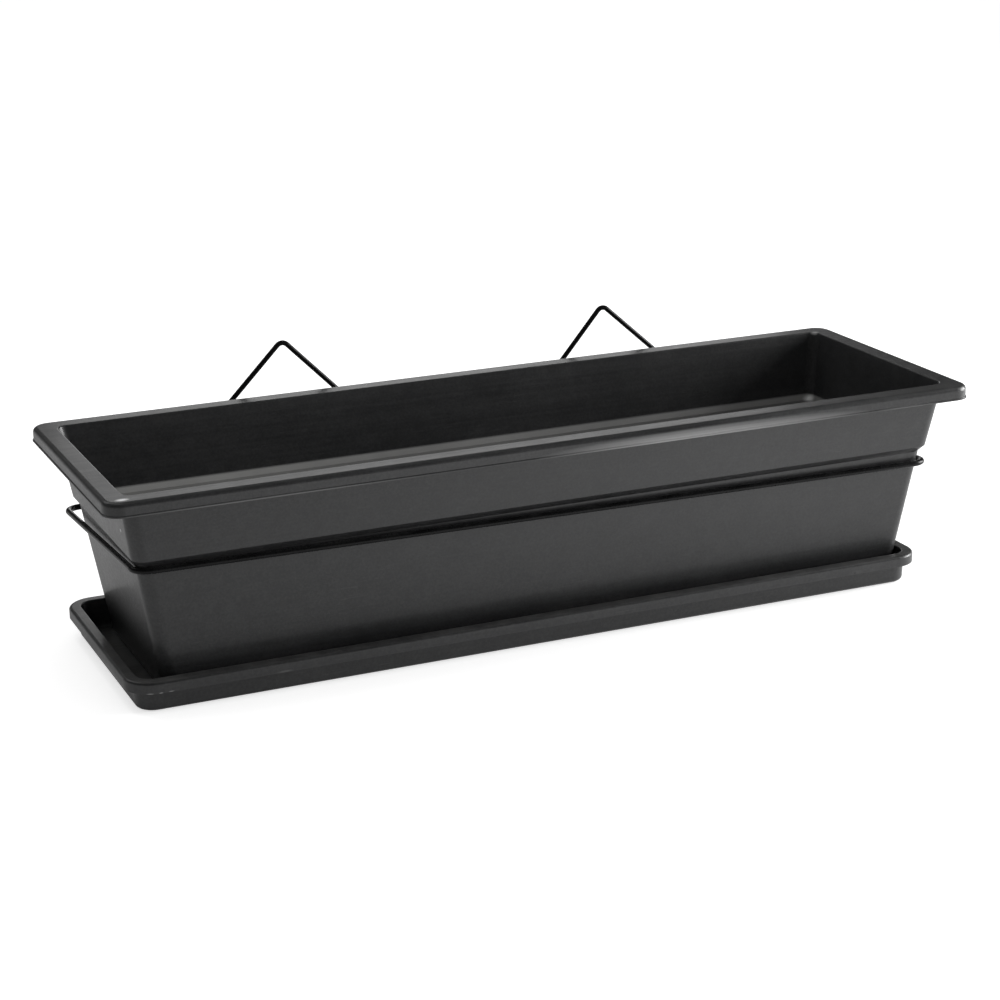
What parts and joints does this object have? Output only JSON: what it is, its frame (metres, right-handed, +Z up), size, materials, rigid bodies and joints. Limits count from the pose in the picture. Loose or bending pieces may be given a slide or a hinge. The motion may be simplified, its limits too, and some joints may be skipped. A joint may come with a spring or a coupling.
{
  "type": "window box planter",
  "caption": "Long tapered plastic planting trough with a wide flat lip, standing in a matching saucer, with a wire ring support whose peaked hangers rise behind it.",
  "frame": {"origin": "middle of the saucer's flat underside, on the surface that the planter stands on", "axes": "+X along the length to the right, +Y to the back where the hangers are, +Z up"},
  "size_m": [0.6, 0.2102, 0.1742],
  "materials": {
    "saucer_plastic": "moulded anthracite polypropylene, satin",
    "trough_plastic": "moulded anthracite polypropylene, satin",
    "wire_coating": "black powder coat, semi-gloss"
  },
  "bodies": {
    "saucer": {"saucer": "saucer_plastic"},
    "support": {"support_ring": "wire_coating", "left_hanger": "wire_coating", "right_hanger": "wire_coating"},
    "trough": {"trough": "trough_plastic"}
  },
  "joints": [
    {"name": "support_lift", "type": "slide", "parent": "saucer", "child": "support", "axis": [0, 0, 1], "range_m": [0, 0.06]},
    {"name": "trough_lift", "type": "slide", "parent": "support", "child": "trough", "axis": [0, 0, 1], "range_m": [0, 0.18]}
  ]
}
